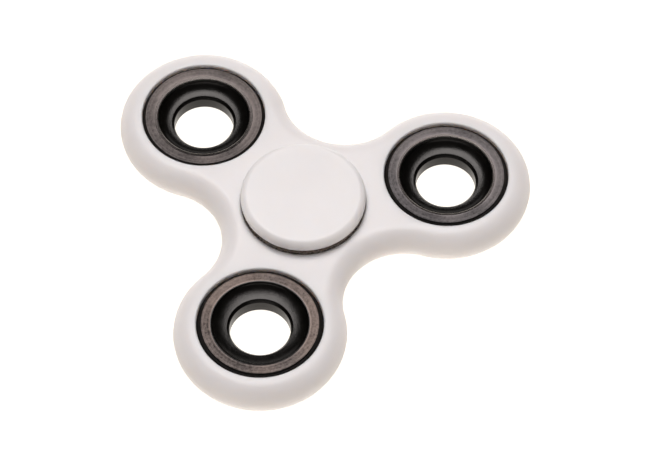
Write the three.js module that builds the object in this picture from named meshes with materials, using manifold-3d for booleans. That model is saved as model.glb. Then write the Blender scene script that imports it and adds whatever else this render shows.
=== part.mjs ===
// Three-lobed hand spinner. A moulded frame holds a ring weight in each lobe and a 22 mm deep-groove
// ball bearing in its middle, and two finger caps clamp the bearing's inner ring from above and below.
//
// Millimetres. +Z runs up the spin axis, the origin is the centre of the lower cap's resting face,
// and one lobe points along +Y.

import * as THREE from 'three';
import { mergeVertices } from 'three/addons/utils/BufferGeometryUtils.js';
import Module from 'manifold-3d';

// ---------------------------------------------------------------- driving dimensions

// Frame: three lobes and the three hollows between them, all centred on one regular hexagon.
const LOBE_DISTANCE = 26;
const LOBE_RADIUS = 15;
const FRAME_THICKNESS = 7;
const FRAME_EDGE_RADIUS = 3.4;
const BORE_EDGE_BREAK = 0.25;
const LOBE_ANGLES = [90, 210, 330];

// The bearing and the weights share one outside diameter, pressed into equal bores.
const INSERT_RADIUS = 11;
const BORE_CLEARANCE = 0.1;

// Ring weights, about as thick as the bearing and dished on both faces. From the outside in: chamfer,
// ground flat, rim chamfer, dish, lip and throat. Depths are from the face of the weight.
const WEIGHT = {
  rimWidth: 0.16,
  dishDepth: 0.17,
  lipRadius: 5.75,
  lowerLipDepth: 1.8,
  throatRadius: 5.3,
  throatDrop: 0.55,
};

// What differs from one weight to the next. Weight b is the thinnest, and its upper lip is the nearest
// to the face.
const WEIGHTS = [
  { letter: 'a', thickness: 7, pressedIn: 0.37, edgeChamfer: 0.6, rimRadius: 8.33, lipDepth: 1.88 },
  { letter: 'b', thickness: 6.65, pressedIn: 0.18, edgeChamfer: 0.83, rimRadius: 8.48, lipDepth: 1.4 },
  { letter: 'c', thickness: 7, pressedIn: 0.2, edgeChamfer: 0.75, rimRadius: 8.38, lipDepth: 1.85 },
];

// Deep-groove bearing of the 608 size.
const BEARING = {
  width: 7,
  boreRadius: 4,
  cornerChamfer: 0.3,
  pitchRadius: 7.5,
  ballRadius: 3.969 / 2,
  ballCount: 7,
  grooveRadius: 2.064,
  runningClearance: 0.06,
  innerLandRadius: 6.05,
  outerLandRadius: 8.85,
};

// Recess in each face of the outer ring, with the shield and the snap ring that it holds.
const RECESS = { radius: 9.65, floor: 2.6, lipRadius: 9.45, lip: 3.34 };
const SHIELD = { innerRadius: 6.15, outerRadius: 9.4, low: 2.64, high: 2.94, rimHigh: 3 };
const SNAP_RING = { innerRadius: 9.05, outerRadius: 9.58, low: 3.03, high: 3.3, gapAngle: 40 };
const INNER_STEP = { radius: 5.75, level: 2.5 };

// Pressed ribbon cage and its rivets.
const CAGE = {
  innerRadius: 6.95,
  outerRadius: 8.05,
  sheet: 0.32,
  halfGap: 0.03,
  pocketClearance: 0.12,
};
const RIVET = { shankRadius: 0.3, headRadius: 0.52, headHeight: 0.22, clearance: 0.04 };

// Finger caps: a disc, a shoulder that stands it off the frame, and a plug in the bearing's bore.
const CAP = {
  radius: 11,
  thickness: 1.9,
  standOff: 1,
  edgeRadius: 1.2,
  rimChamfer: 0.15,
  shoulderRadius: 5.6,
  plugClearance: 0.05,
  plugLength: 3.3,
  plugChamfer: 0.3,
  pinRadius: 1.9,
  pinLength: 3.6,
  pinChamfer: 0.3,
  socketRadius: 2,
  socketDepth: 4,
};

// Facets: segments round each piece, and steps along its rounded edges.
const ROUND = 36;
const BALL_SEGMENTS = { around: 12, tall: 8 };
const RIVET_SEGMENTS = 8;
const OUTLINE_STEP = 10;
const FRAME_EDGE_STEPS = 4;
const DISH_STEPS = 4;
const GROOVE_STEPS = 3;
const CAP_EDGE_STEPS = 3;
const POCKET_STEPS = 6;

// ---------------------------------------------------------------- derived heights

const FRAME_BOTTOM = CAP.thickness + CAP.standOff;
const MIDDLE = FRAME_BOTTOM + FRAME_THICKNESS / 2;
const BORE_RADIUS = INSERT_RADIUS + BORE_CLEARANCE;

// ---------------------------------------------------------------- materials

const plastic = (name, color) =>
  new THREE.MeshStandardMaterial({ name, color, roughness: 0.45, metalness: 0 });
const metal = (name, color, roughness) =>
  new THREE.MeshStandardMaterial({ name, color, roughness, metalness: 1 });

const MATERIALS = {
  frame: plastic('frame_plastic', 0xebe6e4),
  cap: plastic('cap_plastic', 0xece8e7),
  weight: metal('weight_steel', 0x4a4644, 0.4),
  race: metal('bearing_steel', 0x9a9894, 0.25),
  ball: metal('ball_steel', 0xc8c8c8, 0.08),
  pressed: metal('pressed_steel', 0xa9a8a4, 0.35),
};

// ---------------------------------------------------------------- shape helpers

const radians = THREE.MathUtils.degToRad;
const wasm = await Module();
wasm.setup();

function named(name, geometry, material) {
  const mesh = new THREE.Mesh(geometry, material);
  mesh.name = name;
  return mesh;
}

// Points on an arc about (x, y), both ends included, angles in degrees.
function arc(x, y, radius, from, to, steps) {
  return Array.from({ length: steps + 1 }, (_, i) => {
    const angle = radians(from + ((to - from) * i) / steps);
    return new THREE.Vector2(x + radius * Math.cos(angle), y + radius * Math.sin(angle));
  });
}

const at = (radius, height) => new THREE.Vector2(radius, height);

// The same profile points with their heights turned over, in the opposite order.
const mirrored = (points) => points.map((p) => at(p.x, -p.y)).reverse();

// Solid of revolution about Z. The profile holds radius and height, and runs anticlockwise when
// radius points right and height points up.
function turned(profile, segments = ROUND) {
  return new THREE.LatheGeometry(profile, segments).rotateX(Math.PI / 2);
}

function toManifold(geometry) {
  const bare = geometry.clone();
  bare.deleteAttribute('normal');
  bare.deleteAttribute('uv');
  const merged = mergeVertices(bare, 1e-4);
  return new wasm.Manifold(new wasm.Mesh({
    numProp: 3,
    vertProperties: new Float32Array(merged.attributes.position.array),
    triVerts: new Uint32Array(merged.index.array),
  }));
}

function subtract(geometry, cutters) {
  const solid = cutters.reduce((left, cutter) => left.subtract(toManifold(cutter)), toManifold(geometry));
  const mesh = solid.getMesh();
  const cut = new THREE.BufferGeometry();
  cut.setAttribute('position', new THREE.BufferAttribute(mesh.vertProperties, 3));
  cut.setIndex(new THREE.BufferAttribute(mesh.triVerts, 1));
  cut.computeVertexNormals();
  return cut;
}

// ---------------------------------------------------------------- frame

const lobeCentre = (angle) =>
  new THREE.Vector2(LOBE_DISTANCE * Math.cos(radians(angle)), LOBE_DISTANCE * Math.sin(radians(angle)));

// The outline of the flat face. A lobe takes two thirds of its circle and a hollow one third.
function frameOutline() {
  const lobeRadius = LOBE_RADIUS - FRAME_EDGE_RADIUS;
  const hollowRadius = LOBE_DISTANCE - lobeRadius;
  const points = LOBE_ANGLES.flatMap((angle) => {
    const lobe = lobeCentre(angle);
    const hollow = lobeCentre(angle + 60);
    const lobeArc = arc(lobe.x, lobe.y, lobeRadius, angle - 120, angle + 120, 240 / OUTLINE_STEP);
    const hollowArc = arc(hollow.x, hollow.y, hollowRadius, angle - 60, angle - 180, 120 / OUTLINE_STEP);
    return [...lobeArc.slice(1), ...hollowArc.slice(1)];
  });
  return new THREE.Shape(points);
}

// Cutter for one bore, widened at both faces of the frame.
function boreCutter(x, y) {
  const half = FRAME_THICKNESS / 2;
  const over = 1;
  const wide = BORE_RADIUS + BORE_EDGE_BREAK + over;
  const upper = [at(BORE_RADIUS, half - BORE_EDGE_BREAK), at(wide, half + over), at(0, half + over)];
  return turned([...mirrored(upper), ...upper]).translate(x, y, 0);
}

function spinnerBody() {
  const plate = new THREE.ExtrudeGeometry(frameOutline(), {
    depth: FRAME_THICKNESS - 2 * FRAME_EDGE_RADIUS,
    bevelThickness: FRAME_EDGE_RADIUS,
    bevelSize: FRAME_EDGE_RADIUS,
    bevelSegments: FRAME_EDGE_STEPS,
    steps: 1,
  }).translate(0, 0, FRAME_EDGE_RADIUS - FRAME_THICKNESS / 2);
  const centres = [new THREE.Vector2(0, 0), ...LOBE_ANGLES.map(lobeCentre)];
  return subtract(plate, centres.map((centre) => boreCutter(centre.x, centre.y)));
}

// ---------------------------------------------------------------- weights

// Profile of one face, from the outer edge to the throat. The dish is a quarter ellipse, steep under
// the rim and level at the lip.
function weightFace({ thickness, edgeChamfer, rimRadius }, lipDepth) {
  const half = thickness / 2;
  const dishWidth = rimRadius - WEIGHT.rimWidth - WEIGHT.lipRadius;
  const dishHeight = lipDepth - WEIGHT.dishDepth;
  const dish = arc(0, 0, 1, 0, 90, DISH_STEPS)
    .map((p) => at(WEIGHT.lipRadius + dishWidth * p.x, half - WEIGHT.dishDepth - dishHeight * p.y));
  return [
    at(INSERT_RADIUS, half - edgeChamfer),
    at(INSERT_RADIUS - edgeChamfer, half),
    at(rimRadius, half),
    ...dish,
    at(WEIGHT.throatRadius, half - lipDepth - WEIGHT.throatDrop),
  ];
}

function weightRing(settings) {
  const upper = weightFace(settings, settings.lipDepth);
  const lower = weightFace(settings, WEIGHT.lowerLipDepth);
  return turned([...upper, ...mirrored(lower), upper[0]]);
}

// ---------------------------------------------------------------- bearing

// Points of a raceway from its upper edge to its lower one; side is +1 on the outer ring, -1 on the inner.
function raceway(side, landRadius) {
  const bottom = BEARING.pitchRadius + side * (BEARING.ballRadius + BEARING.runningClearance);
  const centre = bottom - side * BEARING.grooveRadius;
  const edge = THREE.MathUtils.radToDeg(Math.acos((side * (landRadius - centre)) / BEARING.grooveRadius));
  return arc(centre, 0, BEARING.grooveRadius, edge, -edge, 2 * GROOVE_STEPS)
    .map((p) => at(centre + side * (p.x - centre), p.y));
}

function outerRace() {
  const half = BEARING.width / 2;
  const chamfer = BEARING.cornerChamfer;
  const upper = [
    at(INSERT_RADIUS, half - chamfer),
    at(INSERT_RADIUS - chamfer, half),
    at(RECESS.lipRadius, half),
    at(RECESS.lipRadius, RECESS.lip),
    at(RECESS.radius, RECESS.lip),
    at(RECESS.radius, RECESS.floor),
    at(BEARING.outerLandRadius, RECESS.floor),
  ];
  return turned([...upper, ...raceway(1, BEARING.outerLandRadius), ...mirrored(upper), upper[0]]);
}

function innerRace() {
  const half = BEARING.width / 2;
  const chamfer = BEARING.cornerChamfer;
  const upper = [
    at(BEARING.innerLandRadius, INNER_STEP.level),
    at(INNER_STEP.radius, INNER_STEP.level),
    at(INNER_STEP.radius, half),
    at(BEARING.boreRadius + chamfer, half),
    at(BEARING.boreRadius, half - chamfer),
  ];
  const groove = raceway(-1, BEARING.innerLandRadius).reverse();
  return turned([...groove, ...upper, ...mirrored(upper), groove[0]]);
}

function ball() {
  return new THREE.SphereGeometry(BEARING.ballRadius, BALL_SEGMENTS.around, BALL_SEGMENTS.tall)
    .rotateX(Math.PI / 2);
}

// Dust shield: a flat washer with a slightly thicker rim under the snap ring.
function shield() {
  const rim = SHIELD.outerRadius - 0.3;
  return turned([
    at(SHIELD.innerRadius, SHIELD.low),
    at(SHIELD.outerRadius, SHIELD.low),
    at(SHIELD.outerRadius, SHIELD.rimHigh),
    at(rim, SHIELD.rimHigh),
    at(rim - 0.2, SHIELD.high),
    at(SHIELD.innerRadius, SHIELD.high),
    at(SHIELD.innerRadius, SHIELD.low),
  ]);
}

// Split ring of flat stock, sprung into the groove above the shield.
function snapRing() {
  const from = SNAP_RING.gapAngle / 2;
  const steps = ROUND - 4;
  const outline = new THREE.Shape([
    ...arc(0, 0, SNAP_RING.outerRadius, from, 360 - from, steps),
    ...arc(0, 0, SNAP_RING.innerRadius, 360 - from, from, steps),
  ]);
  const depth = SNAP_RING.high - SNAP_RING.low;
  return new THREE.ExtrudeGeometry(outline, { depth, bevelEnabled: false }).translate(0, 0, SNAP_RING.low);
}

// ---------------------------------------------------------------- cage

const ballAngle = (index) => (360 * index) / BEARING.ballCount;
const rivetAngle = (index) => ballAngle(index + 0.5);

// Ribbon section at each station round the cage: the height and the distance along the pitch circle
// of its lower and upper skin, measured from the ball's centre.
function pocketStations() {
  const lowRadius = BEARING.ballRadius + CAGE.pocketClearance;
  const highRadius = lowRadius + CAGE.sheet;
  const lowEdge = THREE.MathUtils.radToDeg(Math.asin(CAGE.halfGap / lowRadius));
  const highEdge = THREE.MathUtils.radToDeg(Math.asin((CAGE.halfGap + CAGE.sheet) / highRadius));
  const low = arc(0, 0, lowRadius, 180 - lowEdge, lowEdge, POCKET_STEPS);
  const high = arc(0, 0, highRadius, 180 - highEdge, highEdge, POCKET_STEPS);
  return low.map((point, i) => ({ low: point, high: high[i] }));
}

// Closed ribbon round the axis, bowed over every ball and flat between the balls.
function cageRibbon() {
  const corners = [];
  for (let index = 0; index < BEARING.ballCount; index += 1) {
    for (const { low, high } of pocketStations()) {
      const lowAngle = radians(ballAngle(index)) + low.x / BEARING.pitchRadius;
      const highAngle = radians(ballAngle(index)) + high.x / BEARING.pitchRadius;
      corners.push(
        [CAGE.innerRadius, lowAngle, low.y],
        [CAGE.outerRadius, lowAngle, low.y],
        [CAGE.outerRadius, highAngle, high.y],
        [CAGE.innerRadius, highAngle, high.y],
      );
    }
  }
  const positions = corners.flatMap(([radius, angle, z]) => [radius * Math.cos(angle), radius * Math.sin(angle), z]);
  const indices = [];
  const count = corners.length;
  for (let base = 0; base < count; base += 4) {
    for (let side = 0; side < 4; side += 1) {
      const a = base + side;
      const b = base + ((side + 1) % 4);
      const c = (b + 4) % count;
      const d = (a + 4) % count;
      indices.push(a, c, b, a, d, c);
    }
  }
  const geometry = new THREE.BufferGeometry();
  geometry.setAttribute('position', new THREE.Float32BufferAttribute(positions, 3));
  geometry.setAttribute('normal', new THREE.Float32BufferAttribute(new Float32Array(count * 3), 3));
  geometry.setAttribute('uv', new THREE.Float32BufferAttribute(new Float32Array(count * 2), 2));
  geometry.setIndex(indices);
  return geometry;
}

function onPitchCircle(geometry, angle) {
  return geometry.translate(BEARING.pitchRadius, 0, 0).rotateZ(radians(angle));
}

function cageHalf() {
  const holes = Array.from({ length: BEARING.ballCount }, (_, index) => onPitchCircle(
    new THREE.CylinderGeometry(
      RIVET.shankRadius + RIVET.clearance,
      RIVET.shankRadius + RIVET.clearance,
      2,
      RIVET_SEGMENTS,
    ).rotateX(Math.PI / 2),
    rivetAngle(index),
  ));
  return subtract(cageRibbon(), holes);
}

// Rivet with a head on each side of the two sheets.
function rivet() {
  const grip = CAGE.halfGap + CAGE.sheet + RIVET.clearance;
  const upper = [
    at(RIVET.shankRadius, grip),
    at(RIVET.headRadius, grip),
    at(RIVET.headRadius * 0.7, grip + RIVET.headHeight),
    at(0, grip + RIVET.headHeight),
  ];
  return turned([...mirrored(upper), ...upper], RIVET_SEGMENTS);
}

// ---------------------------------------------------------------- finger caps

// Profile of a cap from its shoulder round the disc to the axis, with its resting face at height 0.
function capDisc() {
  const shoulder = CAP.thickness + CAP.standOff;
  const edgeCentre = CAP.radius - CAP.edgeRadius;
  return [
    at(CAP.shoulderRadius, shoulder),
    at(CAP.shoulderRadius, CAP.thickness),
    at(CAP.radius - CAP.rimChamfer, CAP.thickness),
    at(CAP.radius, CAP.thickness - CAP.rimChamfer),
    ...arc(edgeCentre, CAP.edgeRadius, CAP.edgeRadius, 0, -90, CAP_EDGE_STEPS),
    at(0, 0),
  ].reverse();
}

// Plug from its free end to the shoulder.
function capPlug() {
  const radius = BEARING.boreRadius - CAP.plugClearance;
  const shoulder = CAP.thickness + CAP.standOff;
  const end = shoulder + CAP.plugLength;
  return [at(radius, shoulder), at(radius, end - CAP.plugChamfer), at(radius - CAP.plugChamfer, end)];
}

function lowerCap() {
  const end = CAP.thickness + CAP.standOff + CAP.plugLength;
  const floor = end - CAP.socketDepth;
  const socket = [at(CAP.socketRadius, end), at(CAP.socketRadius, floor), at(0, floor)];
  return turned([...capDisc(), ...capPlug(), ...socket]);
}

// The upper cap is the same cap turned over, with a pin where the lower one has its socket.
function upperCap() {
  const root = CAP.thickness + CAP.standOff + CAP.plugLength;
  const tip = root + CAP.pinLength;
  const pin = [
    at(CAP.pinRadius, root),
    at(CAP.pinRadius, tip - CAP.pinChamfer),
    at(CAP.pinRadius - CAP.pinChamfer, tip),
    at(0, tip),
  ];
  return turned([...capDisc(), ...capPlug(), ...pin]).rotateX(Math.PI);
}

// ---------------------------------------------------------------- assembly

// Everything inside the frame is modelled about its mid-plane.
const middle = new THREE.Group();
middle.position.z = MIDDLE;
middle.add(named('spinner_body', spinnerBody(), MATERIALS.frame));

WEIGHTS.forEach((settings, index) => {
  const centre = lobeCentre(LOBE_ANGLES[index]);
  const weight = named(`weight_ring_${settings.letter}`, weightRing(settings), MATERIALS.weight);
  const seat = (FRAME_THICKNESS - settings.thickness) / 2 - settings.pressedIn;
  weight.position.set(centre.x, centre.y, seat);
  middle.add(weight);
});

middle.add(named('bearing_outer_race', outerRace(), MATERIALS.race));
middle.add(named('bearing_inner_race', innerRace(), MATERIALS.race));

for (let index = 0; index < BEARING.ballCount; index += 1) {
  const number = index + 1;
  middle.add(named(`bearing_ball_${number}`, onPitchCircle(ball(), ballAngle(index)), MATERIALS.ball));
  middle.add(named(`cage_rivet_${number}`, onPitchCircle(rivet(), rivetAngle(index)), MATERIALS.pressed));
}

// Pieces that come in pairs, the lower one being the upper one turned over.
for (const [place, turn] of [['upper', 0], ['lower', Math.PI]]) {
  middle.add(named(`cage_half_${place}`, cageHalf().rotateX(turn), MATERIALS.pressed));
  middle.add(named(`shield_${place}`, shield().rotateX(turn), MATERIALS.pressed));
  middle.add(named(`snap_ring_${place}`, snapRing().rotateX(turn), MATERIALS.pressed));
}

const spinner = new THREE.Group();
spinner.add(middle);
spinner.add(named('finger_cap_lower', lowerCap(), MATERIALS.cap));

const upper = named('finger_cap_upper', upperCap(), MATERIALS.cap);
upper.position.z = 2 * MIDDLE;
spinner.add(upper);

export default spinner;
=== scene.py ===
import math

import bmesh
import bpy
from mathutils import Matrix, Quaternion, Vector


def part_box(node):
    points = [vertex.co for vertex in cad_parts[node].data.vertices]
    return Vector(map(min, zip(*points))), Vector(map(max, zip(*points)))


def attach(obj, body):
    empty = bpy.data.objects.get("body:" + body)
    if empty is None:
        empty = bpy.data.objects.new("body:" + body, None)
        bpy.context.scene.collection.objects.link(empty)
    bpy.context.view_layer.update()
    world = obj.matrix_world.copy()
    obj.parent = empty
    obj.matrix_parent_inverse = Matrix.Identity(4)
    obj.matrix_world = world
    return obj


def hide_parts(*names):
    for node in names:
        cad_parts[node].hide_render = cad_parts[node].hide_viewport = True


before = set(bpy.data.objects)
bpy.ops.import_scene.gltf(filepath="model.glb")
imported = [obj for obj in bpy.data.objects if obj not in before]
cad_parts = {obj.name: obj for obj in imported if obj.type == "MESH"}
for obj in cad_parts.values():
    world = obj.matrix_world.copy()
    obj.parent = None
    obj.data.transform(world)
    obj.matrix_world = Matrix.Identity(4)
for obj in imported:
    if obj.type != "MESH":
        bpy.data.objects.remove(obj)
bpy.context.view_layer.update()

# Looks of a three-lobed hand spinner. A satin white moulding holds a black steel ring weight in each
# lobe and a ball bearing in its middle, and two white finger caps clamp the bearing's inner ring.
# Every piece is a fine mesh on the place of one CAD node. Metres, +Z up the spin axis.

MM = 0.001

# ---------------------------------------------------------------- sizes that the CAD boxes give


def box_centre(node):
    low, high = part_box(node)
    return (low + high) / 2


def half_size(node):
    low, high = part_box(node)
    return (high - low) / 2


AXIS_MIDDLE = Vector((0, 0, box_centre("spinner_body").z))
FRAME_HALF = half_size("spinner_body").z
WEIGHT_LETTERS = ("a", "b", "c")
WEIGHT_HALF = {letter: half_size(f"weight_ring_{letter}").z for letter in WEIGHT_LETTERS}
LOBE_DISTANCE = box_centre("weight_ring_a").y
LOBE_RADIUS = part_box("spinner_body")[1].y - LOBE_DISTANCE
LOBE_ANGLES = (90, 210, 330)
INSERT_RADIUS = half_size("bearing_outer_race").x
RACE_HALF = half_size("bearing_outer_race").z
CAP_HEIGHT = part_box("finger_cap_upper")[1].z
CAP_RADIUS = half_size("finger_cap_upper").x
BALL_RADIUS = half_size("bearing_ball_1").z
BALL_COUNT = 7
PITCH_RADIUS = box_centre("bearing_ball_1").x

# ---------------------------------------------------------------- sizes inside the pieces

FRAME_EDGE = 3.4 * MM
BORE_RADIUS = INSERT_RADIUS + 0.02 * MM
BORE_EDGE = 0.25 * MM
PARTING_HEIGHT = 0.025 * MM
PARTING_HALF_WIDTH = 0.07 * MM

WEIGHT_CHAMFER = {"a": 0.6 * MM, "b": 0.83 * MM, "c": 0.75 * MM}
GROUND_RADIUS = {"a": 8.86 * MM, "b": 8.62 * MM, "c": 8.7 * MM}
RIM_RADIUS = {"a": 8.33 * MM, "b": 8.48 * MM, "c": 8.38 * MM}
LIP_DEPTH = {"a": 1.88 * MM, "b": 1.4 * MM, "c": 1.85 * MM}
DISH_END = {"a": 90, "b": 65, "c": 90}
LOWER_LIP_DEPTH = 1.8 * MM
GROUND_SLOPE = 0.03
CROWN_SLOPE = 0.09
RIM_WIDTH = 0.16 * MM
RIM_DROP = 0.09 * MM
LIP_RADIUS = 5.75 * MM
THROAT_RADIUS = 5.3 * MM
THROAT_DROP = 0.55 * MM

RACE_BORE = 4 * MM
RACE_CHAMFER = 0.3 * MM
GROOVE_RADIUS = 2.064 * MM
RUNNING_CLEARANCE = 0.06 * MM
INNER_LAND = 6.05 * MM
OUTER_LAND = 8.85 * MM
RECESS_RADIUS = 9.65 * MM
RECESS_FLOOR = 2.6 * MM
RECESS_LIP_RADIUS = 9.45 * MM
RECESS_LIP = 3.34 * MM
INNER_STEP_RADIUS = 5.75 * MM
INNER_STEP = 2.5 * MM
# Past the edges of the grooves, 1.45 and 1.54 mm from the middle, and short of the lands' middles at 2 mm.
GROOVE_REACH = 1.75 * MM

CAP_THICKNESS = 1.9 * MM
CAP_STAND_OFF = 1 * MM
CAP_EDGE = 1.2 * MM
CAP_RIM_EDGE = 0.15 * MM
SHOULDER_RADIUS = 5.6 * MM
PLUG_RADIUS = RACE_BORE - 0.05 * MM
PLUG_END = CAP_THICKNESS + CAP_STAND_OFF + 3.3 * MM
PIN_RADIUS = 1.9 * MM
PIN_END = PLUG_END + 3.6 * MM
SOCKET_RADIUS = 2 * MM
SOCKET_FLOOR = PLUG_END - 4 * MM

CAGE_INNER = 6.95 * MM
CAGE_OUTER = 8.05 * MM
CAGE_SHEET = 0.32 * MM
CAGE_GAP = 0.03 * MM
POCKET_CLEARANCE = 0.12 * MM
RIVET_SHANK = 0.3 * MM
RIVET_HEAD = 0.52 * MM
RIVET_DOME = 0.22 * MM
RIVET_CLEARANCE = 0.04 * MM
RIVET_HOLE_DEPTH = 2 * MM

SHIELD_BORE_RADIUS = 6.15 * MM
SHIELD_RIM_WIDTH = 0.3 * MM
SHIELD_SLOPE_END = 0.5 * MM
SHIELD_RIM_RISE = 0.06 * MM
SNAP_RING_INNER = 9.05 * MM
SNAP_RING_HALF_GAP = 20

FINE_EDGE = 0.05 * MM

AROUND = 256
RIVET_AROUND = 32
BALL_AROUND = 64
TABLE_AROUND = 96
ARC_STEP = 2.5
EDGE_STEPS = 14
FILLET_STEPS = 5
POCKET_STEPS = 28
SHARP_ANGLE = 50
ON_AXIS = 1e-9

TABLE_RADIUS = 4
TABLE_DROP = 0.02 * MM

# How much the bare part of a ground face is lightened towards its inner edge, partly as it is worn and partly
# as a painted sheen, and the two patch colours that tint the whole.
WORN_AND_SHEEN_LIFT = 0.36
PLAIN_TINGE = ((0.97, 1.0, 1.02), (1.0, 1.0, 1.0))
HEATED_TINGE = ((0.97, 1.0, 1.02), (1.03, 0.985, 0.95))

# ---------------------------------------------------------------- shapes


def arc(centre, radius, start, end, steps):
    """Points on an arc, both ends included, angles in degrees."""
    angles = [math.radians(start + (end - start) * i / steps) for i in range(steps + 1)]
    return [(centre[0] + radius * math.cos(a), centre[1] + radius * math.sin(a)) for a in angles]


def rounded(corners, closed=True):
    """A profile from (radius, height, fillet) corners, with an arc of FILLET_STEPS in each fillet."""
    points = []
    count = len(corners)
    for i, (x, y, fillet) in enumerate(corners):
        at_end = not closed and i in (0, count - 1)
        if not fillet or at_end:
            points.append((x, y))
            continue
        here = Vector((x, y))
        to_last = (Vector(corners[i - 1][:2]) - here).normalized()
        to_next = (Vector(corners[(i + 1) % count][:2]) - here).normalized()
        half = to_last.angle(to_next) / 2
        centre = here + (to_last + to_next).normalized() * (fillet / math.sin(half))
        start = here + to_last * (fillet / math.tan(half)) - centre
        turn = start.angle_signed(here + to_next * (fillet / math.tan(half)) - centre)
        for step in range(FILLET_STEPS + 1):
            spoke = start.copy()
            spoke.rotate(Matrix.Rotation(-turn * step / FILLET_STEPS, 2))
            points.append(tuple(centre + spoke))
    return points


def mirrored(corners):
    """The same corners with their heights turned over, in the opposite order."""
    return [(corner[0], -corner[1], *corner[2:]) for corner in reversed(corners)]


def bridge(mesh, rings, closed):
    """Joins each ring of vertices to the next one; a ring of one vertex is a pole."""
    pairs = list(zip(rings, rings[1:] + rings[:1])) if closed else list(zip(rings, rings[1:]))
    faces = []
    for low, high in pairs:
        count = max(len(low), len(high))
        made = []
        for i in range(count):
            j = (i + 1) % count
            corners = [low[i % len(low)], low[j % len(low)], high[j % len(high)], high[i % len(high)]]
            unique = list(dict.fromkeys(corners))
            made.append(mesh.faces.new(unique))
        faces.append(made)
    return faces


def turned_mesh(profile, around=AROUND):
    """Solid of revolution. A profile that starts and ends on the axis stays open, any other closes."""
    mesh = bmesh.new()
    on_axis = abs(profile[0][0]) < ON_AXIS
    rings = []
    for radius, height in profile:
        if abs(radius) < ON_AXIS:
            rings.append([mesh.verts.new((0, 0, height))])
            continue
        angles = [2 * math.pi * i / around for i in range(around)]
        rings.append([mesh.verts.new((radius * math.cos(a), radius * math.sin(a), height)) for a in angles])
    bridge(mesh, rings, closed=not on_axis)
    return mesh


def piece(name, mesh, origin, materials, body, node):
    """Makes the object of one mesh, in the place of one CAD node."""
    bmesh.ops.recalc_face_normals(mesh, faces=mesh.faces)
    data = bpy.data.meshes.new(name)
    mesh.to_mesh(data)
    mesh.free()
    for polygon in data.polygons:
        polygon.use_smooth = True
    data.set_sharp_from_angle(angle=math.radians(SHARP_ANGLE))
    for material in materials:
        data.materials.append(material)
    made = bpy.data.objects.new(name, data)
    bpy.context.scene.collection.objects.link(made)
    made.location = origin
    even = made.modifiers.new("even_normals", "WEIGHTED_NORMAL")
    even.keep_sharp = True
    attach(made, body)
    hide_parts(node)
    return made


def paint(mesh, index, wanted):
    """Gives material slot index to every face whose centre passes the test."""
    for face in mesh.faces:
        if wanted(face.calc_center_median()):
            face.material_index = index


# ---------------------------------------------------------------- material graphs


def graph_node(tree, kind, inputs=None, **settings):
    """Adds a node. An input is a plain value or another node's output socket."""
    made = tree.nodes.new(kind)
    for name, value in settings.items():
        setattr(made, name, value)
    for name, value in (inputs or {}).items():
        if isinstance(value, bpy.types.NodeSocket):
            tree.links.new(value, made.inputs[name])
        else:
            made.inputs[name].default_value = value
    return made


def new_material(name, **shader_values):
    """A material with a Principled shader; returns the material, its tree and the shader."""
    material = bpy.data.materials.new(name)
    material.use_nodes = True
    tree = material.node_tree
    tree.nodes.clear()
    shader = graph_node(tree, "ShaderNodeBsdfPrincipled")
    for socket, value in shader_values.items():
        shader.inputs[socket.replace("_", " ")].default_value = value
    output = tree.nodes.new("ShaderNodeOutputMaterial")
    tree.links.new(shader.outputs["BSDF"], output.inputs["Surface"])
    return material, tree, shader


def noise(tree, position, size, detail=3.0, roughness=0.55):
    """Noise whose features are about size across."""
    inputs = {"Vector": position, "Scale": 1 / size, "Detail": detail, "Roughness": roughness}
    return graph_node(tree, "ShaderNodeTexNoise", inputs).outputs["Fac"]


def blended(tree, factor, low, high, span=0.2):
    """Colour between low and high, as the factor goes from span below a half to span above it."""
    ramp = graph_node(tree, "ShaderNodeValToRGB", {"Fac": factor})
    ramp.color_ramp.elements[0].position = 0.5 - span
    ramp.color_ramp.elements[1].position = 0.5 + span
    ramp.color_ramp.elements[0].color = (*low, 1)
    ramp.color_ramp.elements[1].color = (*high, 1)
    return ramp.outputs["Color"]


def spread(tree, factor, low, high):
    """Value between low and high."""
    inputs = {"Value": factor, "From Min": 0.3, "From Max": 0.7, "To Min": low, "To Max": high}
    return graph_node(tree, "ShaderNodeMapRange", inputs).outputs["Result"]


def bumped(tree, height, depth, below=None):
    """Normal of a relief whose full depth is given."""
    inputs = {"Height": height, "Strength": 1.0, "Distance": depth}
    if below is not None:
        inputs["Normal"] = below
    return graph_node(tree, "ShaderNodeBump", inputs).outputs["Normal"]


def object_position(tree):
    return graph_node(tree, "ShaderNodeTexCoord").outputs["Object"]


def axis_distance(tree, position):
    """Distance from the piece's own axis."""
    flat = graph_node(tree, "ShaderNodeVectorMath", {0: position, 1: (1, 1, 0)}, operation="MULTIPLY")
    return graph_node(
        tree, "ShaderNodeVectorMath", {0: flat.outputs["Vector"]}, operation="LENGTH"
    ).outputs["Value"]


def turning_lines(tree, position, size):
    """Fine rings round the piece's own axis, as a lathe or a face grinder leaves them."""
    inputs = {"W": axis_distance(tree, position), "Scale": 1 / size, "Detail": 4.0, "Roughness": 0.7}
    return graph_node(tree, "ShaderNodeTexNoise", inputs, noise_dimensions="1D").outputs["Fac"]


def mixed(tree, factor, low, high):
    """Value part of the way from low to high."""
    inputs = {"Factor": factor, "A": low, "B": high}
    return graph_node(tree, "ShaderNodeMix", inputs, data_type="FLOAT").outputs["Result"]


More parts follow.
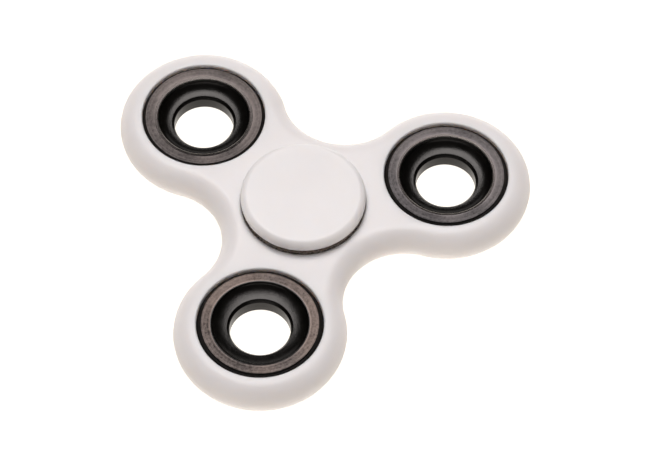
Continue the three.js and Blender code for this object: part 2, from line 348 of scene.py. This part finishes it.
def moulded_plastic(name, shade, gloss):
    """Satin white plastic: faint mottling, a fine moulded grain and slow waves from shrinkage."""
    material, tree, shader = new_material(
        name, Metallic=0.0, IOR=1.5, Subsurface_Weight=0.9, Subsurface_Scale=2 * MM
    )
    shader.inputs["Subsurface Radius"].default_value = (1.0, 0.95, 0.89)
    position = object_position(tree)
    mottling = noise(tree, position, 9 * MM)
    dark = [channel * 0.975 for channel in shade]
    tree.links.new(blended(tree, mottling, dark, shade), shader.inputs["Base Color"])
    grain = noise(tree, position, 0.16 * MM, detail=2.0)
    tree.links.new(spread(tree, grain, gloss - 0.05, gloss + 0.06), shader.inputs["Roughness"])
    waves = bumped(tree, noise(tree, position, 7 * MM, detail=1.0), 0.012 * MM)
    tree.links.new(bumped(tree, grain, 0.0016 * MM, waves), shader.inputs["Normal"])
    return material


def black_steel(name, shine, tint):
    """Black oxide on turned steel: almost black, satin, with a fine grain and faint turning rings."""
    material, tree, shader = new_material(name, Metallic=0.0, IOR=1.5, Specular_IOR_Level=shine)
    shader.inputs["Specular Tint"].default_value = (*tint, 1)
    position = object_position(tree)
    patches = noise(tree, position, 1.6 * MM, detail=4.0)
    colour = blended(tree, patches, (0.0016, 0.0014, 0.0012), (0.0045, 0.004, 0.0035))
    tree.links.new(colour, shader.inputs["Base Color"])
    tree.links.new(spread(tree, patches, 0.2, 0.26), shader.inputs["Roughness"])
    lines = bumped(tree, turning_lines(tree, position, 0.12 * MM), 0.002 * MM)
    grain = noise(tree, position, 0.32 * MM, detail=4.0, roughness=0.65)
    tree.links.new(bumped(tree, grain, 0.026 * MM, lines), shader.inputs["Normal"])
    return material


def ground_steel(name, dark, light, gloss, worn_and_sheen_radii=None, tinge=PLAIN_TINGE):
    """A face ground through the black: fine rings, a speckle of oxide left in the low spots.
    Between the worn-and-sheen radii the face lightens towards the smaller one, more in some places: the
    speckle thins out where it is worn, and a painted sheen stands in for glints along the inner edge.
    The tinge is a pair of colours that multiply the whole, each in its own patches."""
    material, tree, shader = new_material(name, Metallic=1.0)
    position = object_position(tree)
    lines = turning_lines(tree, position, 0.4 * MM)
    speckle = noise(tree, position, 0.5 * MM, detail=4.0, roughness=0.75)
    patches = noise(tree, position, 7 * MM, detail=1.0)
    cleared = mixed(tree, 0.25, mixed(tree, 0.65, lines, speckle), patches)
    # Painted sheen as well as the worn band: the face lightens towards its inner edge, standing in for glints
    # there.
    if worn_and_sheen_radii:
        worn_and_sheen = graph_node(tree, "ShaderNodeMapRange", {
            "Value": axis_distance(tree, position), "From Min": worn_and_sheen_radii[1], "From Max": worn_and_sheen_radii[0],
            "To Min": 0.0, "To Max": spread(tree, noise(tree, position, 6 * MM, detail=2.0), 0.0, WORN_AND_SHEEN_LIFT),
        }, interpolation_type="SMOOTHSTEP").outputs["Result"]
        cleared = graph_node(tree, "ShaderNodeMath", {0: cleared, 1: worn_and_sheen}, operation="ADD").outputs["Value"]
    shade = blended(tree, cleared, dark, light, span=0.14)
    hue = blended(tree, noise(tree, position, 9 * MM, detail=1.0), *tinge, span=0.15)
    tinted = graph_node(tree, "ShaderNodeVectorMath", {0: shade, 1: hue}, operation="MULTIPLY")
    tree.links.new(tinted.outputs["Vector"], shader.inputs["Base Color"])
    tree.links.new(spread(tree, speckle, gloss - 0.05, gloss + 0.07), shader.inputs["Roughness"])
    tree.links.new(bumped(tree, speckle, 0.01 * MM), shader.inputs["Normal"])
    return material


def polished_steel(name, shade, gloss):
    """Bearing balls and raceways: bright, with a trace of haze and hairline marks."""
    material, tree, shader = new_material(name, Metallic=1.0)
    position = object_position(tree)
    haze = noise(tree, position, 0.8 * MM)
    dark = [channel * 0.93 for channel in shade]
    tree.links.new(blended(tree, haze, dark, shade), shader.inputs["Base Color"])
    tree.links.new(spread(tree, haze, gloss, gloss + 0.06), shader.inputs["Roughness"])
    tree.links.new(bumped(tree, noise(tree, position, 0.05 * MM), 0.0003 * MM), shader.inputs["Normal"])
    return material


def pressed_steel(name):
    """Cage, shields and snap rings: cold-rolled sheet with a dull grain."""
    material, tree, shader = new_material(name, Metallic=1.0)
    position = object_position(tree)
    grain = noise(tree, position, 0.2 * MM, detail=4.0, roughness=0.7)
    tree.links.new(blended(tree, grain, (0.36, 0.35, 0.33), (0.5, 0.49, 0.47)), shader.inputs["Base Color"])
    tree.links.new(spread(tree, grain, 0.28, 0.42), shader.inputs["Roughness"])
    tree.links.new(bumped(tree, grain, 0.002 * MM), shader.inputs["Normal"])
    return material


FRAME_PLASTIC = moulded_plastic("frame_plastic", (0.84, 0.8, 0.795), 0.4)
CAP_PLASTIC = moulded_plastic("cap_plastic", (0.85, 0.81, 0.805), 0.36)
BLACK_STEEL = black_steel("black_steel", 0.3, (1.0, 0.95, 0.92))
RUBBED_STEEL = black_steel("rubbed_steel", 0.5, (1.0, 0.86, 0.81))
BARE_EDGE = polished_steel("bare_edge", (0.4, 0.37, 0.34), 0.26)
# Each pair of radii is where a face lightens towards its inner edge: worn, and a painted sheen.
GROUND_FACES = {
    "a": ground_steel(
        "ground_face_warm", (0.0, 0.0, 0.0), (0.104, 0.088, 0.083), 0.4, (8.4 * MM, 9.5 * MM)
    ),
    "b": ground_steel(
        "ground_face_worn_and_sheen", (0.0, 0.0, 0.0), (0.114, 0.093, 0.085), 0.42, (8.3 * MM, 9.0 * MM), HEATED_TINGE
    ),
    "c": ground_steel(
        "ground_face_cool", (0.0, 0.0, 0.0), (0.097, 0.086, 0.085), 0.4, (8.4 * MM, 9.4 * MM)
    ),
}
# Crown and rim of each weight.
RIM_STEEL = {
    "a": (RUBBED_STEEL, BARE_EDGE),
    "b": (BLACK_STEEL, RUBBED_STEEL),
    "c": (RUBBED_STEEL, BARE_EDGE),
}
# Ground steel of the bearing rings' faces, darker and warmer than their grooves: painted shade for the gap
# under the upper cap, where the outer ring's face shows.
RACE_STEEL_AND_SHADE = ground_steel("race_steel_and_shade", (0.24, 0.21, 0.185), (0.36, 0.32, 0.285), 0.26)
GROOVE_STEEL = polished_steel("groove_steel", (0.62, 0.61, 0.59), 0.1)
BALL_STEEL = polished_steel("ball_steel", (0.72, 0.72, 0.71), 0.04)
PRESSED_STEEL = pressed_steel("pressed_steel")

# ---------------------------------------------------------------- frame


def around_axis(distance, angle):
    return Vector((distance * math.cos(math.radians(angle)), distance * math.sin(math.radians(angle)), 0))


def outline(inset):
    """The frame's outline, drawn in by inset. Lobes and hollows are arcs about one regular hexagon."""
    lobe_radius = LOBE_RADIUS - inset
    hollow_radius = LOBE_DISTANCE - lobe_radius
    points = []
    for angle in LOBE_ANGLES:
        lobe = around_axis(LOBE_DISTANCE, angle)
        hollow = around_axis(LOBE_DISTANCE, angle + 60)
        points += arc(lobe, lobe_radius, angle - 120, angle + 120, round(240 / ARC_STEP))[1:]
        points += arc(hollow, hollow_radius, angle - 60, angle - 180, round(120 / ARC_STEP))[1:]
    return points


def edge_section():
    """(inset, height) of the outer edge from the upper face to the lower one, over the parting line."""
    centre_height = FRAME_HALF - FRAME_EDGE
    upper = arc((0, 0), FRAME_EDGE, 90, 0, EDGE_STEPS)
    upper = [(FRAME_EDGE - x, centre_height + y) for x, y in upper]
    ridge = [(0, PARTING_HALF_WIDTH), (-PARTING_HEIGHT, PARTING_HALF_WIDTH / 2)]
    half = upper + ridge
    return half + mirrored(half)


def fill_flat(mesh, loops):
    """Fills the flat face between the outer loop and the bores."""
    edges = []
    for loop in loops:
        for first, second in zip(loop, loop[1:] + loop[:1]):
            edges.append(mesh.edges.get((first, second)) or mesh.edges.new((first, second)))
    bmesh.ops.triangle_fill(mesh, use_beauty=True, edges=edges)


def spinner_frame():
    mesh = bmesh.new()
    outer = [[mesh.verts.new((x, y, height)) for x, y in outline(inset)] for inset, height in edge_section()]
    bridge(mesh, outer, closed=False)
    tops = [outer[0]]
    bottoms = [outer[-1]]
    mouth = [(BORE_RADIUS + 2 * BORE_EDGE, FRAME_HALF, 0), (BORE_RADIUS, FRAME_HALF, BORE_EDGE)]
    bore = rounded(mouth + mirrored(mouth), closed=False)[1:-1]
    for centre in [Vector((0, 0, 0))] + [around_axis(LOBE_DISTANCE, angle) for angle in LOBE_ANGLES]:
        rings = []
        for radius, height in bore:
            circle = arc(centre, radius, 0, 360, AROUND)[:-1]
            rings.append([mesh.verts.new((x, y, height)) for x, y in circle])
        bridge(mesh, rings, closed=False)
        tops.append(rings[0])
        bottoms.append(rings[-1])
    fill_flat(mesh, tops)
    fill_flat(mesh, bottoms)
    piece("frame_moulding", mesh, AXIS_MIDDLE, [FRAME_PLASTIC], "spinner", "spinner_body")


# ---------------------------------------------------------------- weights


def weight_profile(letter, lip_depth, dish_end):
    """One half, from the outer edge over the ground face and down the dish to the throat. It is the
    upper half as it stands, and the lower one when it is turned over."""
    half = WEIGHT_HALF[letter]
    flat_radius = INSERT_RADIUS - WEIGHT_CHAMFER[letter]
    dish_radius = RIM_RADIUS[letter] - RIM_WIDTH
    ground_drop = GROUND_SLOPE * (flat_radius - GROUND_RADIUS[letter])
    crown_drop = ground_drop + CROWN_SLOPE * (GROUND_RADIUS[letter] - RIM_RADIUS[letter])
    dish_depth = crown_drop + RIM_DROP
    edge = rounded([
        (INSERT_RADIUS, 0, 0),
        (INSERT_RADIUS, half - WEIGHT_CHAMFER[letter], FINE_EDGE),
        (flat_radius, half, FINE_EDGE),
        (GROUND_RADIUS[letter], half - ground_drop, FINE_EDGE),
        (RIM_RADIUS[letter], half - crown_drop, 0.6 * FINE_EDGE),
        (dish_radius, half - dish_depth, 0),
    ], closed=False)[1:-1]
    dish = arc((0, 0), 1, 0, dish_end, 2 * EDGE_STEPS)
    end_x, end_y = dish[-1]
    width = (dish_radius - LIP_RADIUS) / (1 - end_x)
    height = (lip_depth - dish_depth) / end_y
    dish = [(dish_radius - width * (1 - x), half - dish_depth - height * y) for x, y in dish]
    lip = rounded([
        (dish_radius, half - lip_depth, 0),
        (LIP_RADIUS, half - lip_depth, FINE_EDGE),
        (THROAT_RADIUS, half - lip_depth - THROAT_DROP, 4 * FINE_EDGE),
        (THROAT_RADIUS, 0, 0),
    ], closed=False)[1:-1]
    return edge + dish[:-1] + lip


def between(low, high):
    """Test for face centres whose distance from the axis lies in this range."""
    return lambda centre: low < math.hypot(centre.x, centre.y) < high


def ring_weight(letter):
    node = f"weight_ring_{letter}"
    upper = weight_profile(letter, LIP_DEPTH[letter], DISH_END[letter])
    lower = weight_profile(letter, LOWER_LIP_DEPTH, 90)
    mesh = turned_mesh(upper + mirrored(lower))
    rim = RIM_RADIUS[letter]
    paint(mesh, 3, between(rim - RIM_WIDTH, rim))
    paint(mesh, 2, between(rim, GROUND_RADIUS[letter]))
    paint(mesh, 1, between(GROUND_RADIUS[letter], INSERT_RADIUS - WEIGHT_CHAMFER[letter]))
    materials = [BLACK_STEEL, GROUND_FACES[letter], *RIM_STEEL[letter]]
    piece(f"ring_weight_{letter}", mesh, box_centre(node), materials, "spinner", node)


# ---------------------------------------------------------------- bearing


def raceway(side, land):
    """Groove from its upper edge to its lower one; side is 1 on the outer ring and -1 on the inner."""
    bottom = PITCH_RADIUS + side * (BALL_RADIUS + RUNNING_CLEARANCE)
    centre = bottom - side * GROOVE_RADIUS
    edge = math.degrees(math.acos(side * (land - centre) / GROOVE_RADIUS))
    points = arc((0, 0), GROOVE_RADIUS, edge, -edge, 2 * EDGE_STEPS)
    return [(centre + side * x, y) for x, y in points]


def in_groove(centre):
    """Test for the faces of either ring's groove, which leaves out the bore and the outside."""
    off_bore = (RACE_BORE + INNER_LAND) / 2
    return abs(centre.z) < GROOVE_REACH and between(off_bore, RECESS_RADIUS)(centre)


def bearing_ring(name, node, corners, groove):
    """Turned ring: the corners of its upper half, the groove, and the same corners turned over."""
    outside = rounded(corners + mirrored(corners), closed=False)
    mesh = turned_mesh(outside + groove)
    paint(mesh, 1, in_groove)
    body = "spinner" if node == "bearing_outer_race" else "hub"
    piece(name, mesh, box_centre(node), [RACE_STEEL_AND_SHADE, GROOVE_STEEL], body, node)


def outer_ring():
    upper = [
        (OUTER_LAND, RECESS_FLOOR, 0),
        (RECESS_RADIUS, RECESS_FLOOR, 0),
        (RECESS_RADIUS, RECESS_LIP, 0),
        (RECESS_LIP_RADIUS, RECESS_LIP, 0),
        (RECESS_LIP_RADIUS, RACE_HALF, FINE_EDGE),
        (INSERT_RADIUS, RACE_HALF, RACE_CHAMFER),
    ]
    bearing_ring("outer_ring", "bearing_outer_race", upper, raceway(1, OUTER_LAND)[::-1])


def inner_ring():
    upper = [
        (INNER_LAND, INNER_STEP, FINE_EDGE),
        (INNER_STEP_RADIUS, INNER_STEP, 0),
        (INNER_STEP_RADIUS, RACE_HALF, FINE_EDGE),
        (RACE_BORE, RACE_HALF, RACE_CHAMFER),
    ]
    bearing_ring("inner_ring", "bearing_inner_race", upper, raceway(-1, INNER_LAND)[::-1])


def ball(number):
    node = f"bearing_ball_{number}"
    mesh = bmesh.new()
    bmesh.ops.create_uvsphere(
        mesh, u_segments=BALL_AROUND, v_segments=BALL_AROUND // 2, radius=BALL_RADIUS
    )
    angle = 360 * (number - 1) / BALL_COUNT
    origin = AXIS_MIDDLE + around_axis(PITCH_RADIUS, angle)
    piece(f"ball_{number}_polished", mesh, origin, [BALL_STEEL], f"ball_{number}", node)


# ---------------------------------------------------------------- cage, shields and snap rings


def pocket_stations():
    """Lower and upper skin of the ribbon over one ball, as (distance along the pitch circle, height)."""
    low_radius = BALL_RADIUS + POCKET_CLEARANCE
    high_radius = low_radius + CAGE_SHEET
    low_edge = math.degrees(math.asin(CAGE_GAP / low_radius))
    high_edge = math.degrees(math.asin((CAGE_GAP + CAGE_SHEET) / high_radius))
    low = arc((0, 0), low_radius, 180 - low_edge, low_edge, POCKET_STEPS)
    high = arc((0, 0), high_radius, 180 - high_edge, high_edge, POCKET_STEPS)
    return list(zip(low, high))


def cage_ribbon(side):
    """Ribbon bowed over every ball, above the middle for side 1 and below it for side -1."""
    mesh = bmesh.new()
    sections = []
    for index in range(BALL_COUNT):
        for low, high in pocket_stations():
            section = []
            for (along, height), radii in ((low, (CAGE_INNER, CAGE_OUTER)), (high, (CAGE_OUTER, CAGE_INNER))):
                angle = 360 * index / BALL_COUNT + math.degrees(along / PITCH_RADIUS)
                for radius in radii:
                    section.append(mesh.verts.new(around_axis(radius, angle) + Vector((0, 0, side * height))))
            sections.append(section)
    bridge(mesh, sections, closed=True)
    return mesh


def rivet_hole_cutter():
    """Seven short bars in one mesh, where the rivets pass."""
    mesh = bmesh.new()
    radius = RIVET_SHANK + RIVET_CLEARANCE
    for index in range(BALL_COUNT):
        place = Matrix.Translation(around_axis(PITCH_RADIUS, 360 * (index + 0.5) / BALL_COUNT))
        bmesh.ops.create_cone(
            mesh, cap_ends=True, segments=RIVET_AROUND, radius1=radius, radius2=radius,
            depth=RIVET_HOLE_DEPTH, matrix=place,
        )
    data = bpy.data.meshes.new("rivet_holes")
    mesh.to_mesh(data)
    mesh.free()
    made = bpy.data.objects.new("rivet_holes", data)
    bpy.context.scene.collection.objects.link(made)
    return made


def cut(made, cutter):
    """Cuts the cutter out of the piece and leaves the cut as its mesh."""
    boolean = made.modifiers.new("holes", "BOOLEAN")
    boolean.operation = "DIFFERENCE"
    boolean.object = cutter
    made.modifiers.move(made.modifiers.find("holes"), 0)
    with bpy.context.temp_override(object=made, active_object=made):
        bpy.ops.object.modifier_apply(modifier="holes")


def cage_half(place, side):
    node = f"cage_half_{place}"
    ribbon = cage_ribbon(side)
    made = piece(f"cage_{place}", ribbon, AXIS_MIDDLE, [PRESSED_STEEL], "cage", node)
    cutter = rivet_hole_cutter()
    cutter.location = AXIS_MIDDLE
    cut(made, cutter)
    bpy.data.objects.remove(cutter)


def rivet(number):
    grip = CAGE_GAP + CAGE_SHEET + RIVET_CLEARANCE
    dome = arc((0, 0), 1, 0, 90, FILLET_STEPS)
    head = [(RIVET_HEAD * x, grip + RIVET_DOME * y) for x, y in dome]
    half = [(RIVET_SHANK, 0.5 * grip), (RIVET_SHANK, grip), *head[:-1], (0, grip + RIVET_DOME)]
    mesh = turned_mesh(mirrored(half) + half, around=RIVET_AROUND)
    origin = AXIS_MIDDLE + around_axis(PITCH_RADIUS, 360 * (number - 0.5) / BALL_COUNT)
    piece(f"rivet_{number}", mesh, origin, [PRESSED_STEEL], "cage", f"cage_rivet_{number}")


def dust_shield(place, side):
    """Pressed washer whose rim is a little thicker, under the snap ring."""
    node = f"shield_{place}"
    low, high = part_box(node)
    outer = half_size(node).x
    thick = high.z - low.z
    sheet_top = thick / 2 - SHIELD_RIM_RISE
    mesh = turned_mesh(rounded([
        (SHIELD_BORE_RADIUS, -thick / 2, FINE_EDGE),
        (outer, -thick / 2, FINE_EDGE),
        (outer, thick / 2, FINE_EDGE),
        (outer - SHIELD_RIM_WIDTH, thick / 2, FINE_EDGE),
        (outer - SHIELD_SLOPE_END, sheet_top, FINE_EDGE),
        (SHIELD_BORE_RADIUS, sheet_top, FINE_EDGE),
    ]))
    bmesh.ops.scale(mesh, vec=(1, 1, side), verts=mesh.verts)
    piece(f"dust_shield_{place}", mesh, box_centre(node), [PRESSED_STEEL], "spinner", node)


def retaining_ring(place):
    """Split ring of flat stock with rounded edges."""
    node = f"snap_ring_{place}"
    half = half_size(node).z
    outer = half_size(node).y
    section = rounded([
        (SNAP_RING_INNER, -half, FINE_EDGE),
        (outer, -half, FINE_EDGE),
        (outer, half, FINE_EDGE),
        (SNAP_RING_INNER, half, FINE_EDGE),
    ])
    mesh = bmesh.new()
    sweep = 360 - 2 * SNAP_RING_HALF_GAP
    steps = round(sweep / ARC_STEP)
    rings = []
    for step in range(steps + 1):
        angle = SNAP_RING_HALF_GAP + sweep * step / steps
        ring = [around_axis(radius, angle) + Vector((0, 0, height)) for radius, height in section]
        rings.append([mesh.verts.new(corner) for corner in ring])
    bridge(mesh, rings, closed=False)
    mesh.faces.new(rings[0])
    mesh.faces.new(rings[-1])
    origin = Vector((0, 0, box_centre(node).z))
    piece(f"retaining_ring_{place}", mesh, origin, [PRESSED_STEEL], "spinner", node)


# ---------------------------------------------------------------- finger caps


def cap_disc():
    """Corners from the axis over the resting face and the rim to the shoulder."""
    shoulder = CAP_THICKNESS + CAP_STAND_OFF
    return [
        (0, 0, 0),
        (CAP_RADIUS, 0, CAP_EDGE),
        (CAP_RADIUS, CAP_THICKNESS, CAP_RIM_EDGE),
        (SHOULDER_RADIUS, CAP_THICKNESS, 2 * CAP_RIM_EDGE),
        (SHOULDER_RADIUS, shoulder, FINE_EDGE),
        (PLUG_RADIUS, shoulder, 0),
        (PLUG_RADIUS, PLUG_END, 2 * CAP_RIM_EDGE),
    ]


def lower_cap():
    socket = [(SOCKET_RADIUS, PLUG_END, FINE_EDGE), (SOCKET_RADIUS, SOCKET_FLOOR, 0), (0, SOCKET_FLOOR, 0)]
    mesh = turned_mesh(rounded(cap_disc() + socket, closed=False))
    origin = Vector((0, 0, 0))
    piece("cap_lower", mesh, origin, [CAP_PLASTIC], "hub", "finger_cap_lower")


def upper_cap():
    pin = [(PIN_RADIUS, PLUG_END, 0), (PIN_RADIUS, PIN_END, 2 * CAP_RIM_EDGE), (0, PIN_END, 0)]
    mesh = turned_mesh(rounded(cap_disc() + pin, closed=False))
    bmesh.ops.scale(mesh, vec=(1, 1, -1), verts=mesh.verts)
    origin = Vector((0, 0, CAP_HEIGHT))
    piece("cap_upper", mesh, origin, [CAP_PLASTIC], "hub", "finger_cap_upper")


# ---------------------------------------------------------------- assembly

spinner_frame()
for weight_letter in WEIGHT_LETTERS:
    ring_weight(weight_letter)
outer_ring()
inner_ring()
for ball_number in range(1, BALL_COUNT + 1):
    ball(ball_number)
    rivet(ball_number)
for half_place, half_side in (("upper", 1), ("lower", -1)):
    cage_half(half_place, half_side)
    dust_shield(half_place, half_side)
    retaining_ring(half_place)
lower_cap()
upper_cap()

# ---------------------------------------------------------------- camera, floor and light

CAMERA_AZIMUTH = -43.83
CAMERA_ELEVATION = 56.5
CAMERA_DISTANCE = 573.97 * MM
CAMERA_ROLL = 0.34
CAMERA_LENS = 183.2
AIM_RIGHT = 3.41 * MM
AIM_AWAY = -6.43 * MM


def direction(azimuth, elevation):
    """Unit vector from the object towards a viewer at this azimuth and elevation, in degrees."""
    a, e = math.radians(azimuth), math.radians(elevation)
    return Vector((math.sin(a) * math.cos(e), -math.cos(a) * math.cos(e), math.sin(e)))


def add_camera():
    a = math.radians(CAMERA_AZIMUTH)
    right = Vector((math.cos(a), math.sin(a), 0))
    away = Vector((-math.sin(a), math.cos(a), 0))
    aim = Vector((0, 0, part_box("spinner_body")[1].z)) + right * AIM_RIGHT + away * AIM_AWAY
    back = direction(CAMERA_AZIMUTH, CAMERA_ELEVATION)
    data = bpy.data.cameras.new("camera")
    data.lens = CAMERA_LENS
    data.clip_start = 0.01
    data.clip_end = 20
    camera = bpy.data.objects.new("camera", data)
    bpy.context.scene.collection.objects.link(camera)
    camera.location = aim + back * CAMERA_DISTANCE
    camera.rotation_mode = "QUATERNION"
    roll = Quaternion((0, 0, 1), math.radians(CAMERA_ROLL))
    camera.rotation_quaternion = (-back).to_track_quat("-Z", "Y") @ roll
    bpy.context.scene.camera = camera


def add_floor():
    """Translucent white table, lit a little from inside as a light table is."""
    material, tree, shader = new_material("table_white", Roughness=0.8, Emission_Strength=1.15)
    position = object_position(tree)
    white = blended(tree, noise(tree, position, 60 * MM), (0.115, 0.11, 0.1), (0.125, 0.12, 0.11))
    tree.links.new(white, shader.inputs["Base Color"])
    shader.inputs["Emission Color"].default_value = (1.0, 0.945, 0.875, 1)
    mesh = bmesh.new()
    bmesh.ops.create_circle(mesh, cap_ends=True, segments=TABLE_AROUND, radius=TABLE_RADIUS)
    data = bpy.data.meshes.new("table")
    mesh.to_mesh(data)
    mesh.free()
    data.materials.append(material)
    floor = bpy.data.objects.new("table", data)
    floor.location = (0, 0, -TABLE_DROP)
    bpy.context.scene.collection.objects.link(floor)


def add_panel(name, azimuth, elevation, distance, size, power, colour):
    """Rectangular area light, size (width, height), that faces the object."""
    data = bpy.data.lights.new(name, "AREA")
    data.shape = "RECTANGLE"
    data.size, data.size_y = size
    data.energy = power
    data.color = colour
    made = bpy.data.objects.new(name, data)
    towards = direction(azimuth, elevation)
    made.location = towards * distance
    made.rotation_mode = "QUATERNION"
    made.rotation_quaternion = towards.to_track_quat("Z", "Y")
    made.visible_camera = False
    bpy.context.scene.collection.objects.link(made)


def add_room():
    """Dim studio: dark walls, and a pale one in front of the object."""
    world = bpy.data.worlds.new("room")
    world.use_nodes = True
    tree = world.node_tree
    tree.nodes.clear()
    position = graph_node(tree, "ShaderNodeTexCoord").outputs["Generated"]
    front = graph_node(
        tree, "ShaderNodeVectorMath", {0: position, 1: direction(CAMERA_AZIMUTH, 20)}, operation="DOT_PRODUCT"
    ).outputs["Value"]
    ramp = graph_node(tree, "ShaderNodeValToRGB", {"Fac": front})
    ramp.color_ramp.elements[0].position = 0.1
    ramp.color_ramp.elements[1].position = 0.8
    ramp.color_ramp.elements[0].color = (0.016, 0.015, 0.014, 1)
    ramp.color_ramp.elements[1].color = (0.085, 0.083, 0.08, 1)
    background = graph_node(tree, "ShaderNodeBackground", {"Color": ramp.outputs["Color"], "Strength": 1.0})
    output = tree.nodes.new("ShaderNodeOutputWorld")
    tree.links.new(background.outputs["Background"], output.inputs["Surface"])
    bpy.context.scene.world = world


BEHIND = CAMERA_AZIMUTH + 180

add_camera()
add_floor()
add_room()
add_panel("overhead_softbox", BEHIND + 6, 72, 1.0, (0.62, 0.66), 9.35, (1.0, 0.985, 0.985))
add_panel("backdrop", BEHIND, 12, 1.5, (1.6, 0.6), 2.2, (1.0, 0.97, 0.94))
add_panel("front_reflector", CAMERA_AZIMUTH - 7, 8, 1.5, (2.3, 0.5), 4.8, (1.0, 0.975, 0.945))
bpy.context.scene.view_settings.view_transform = "Standard"
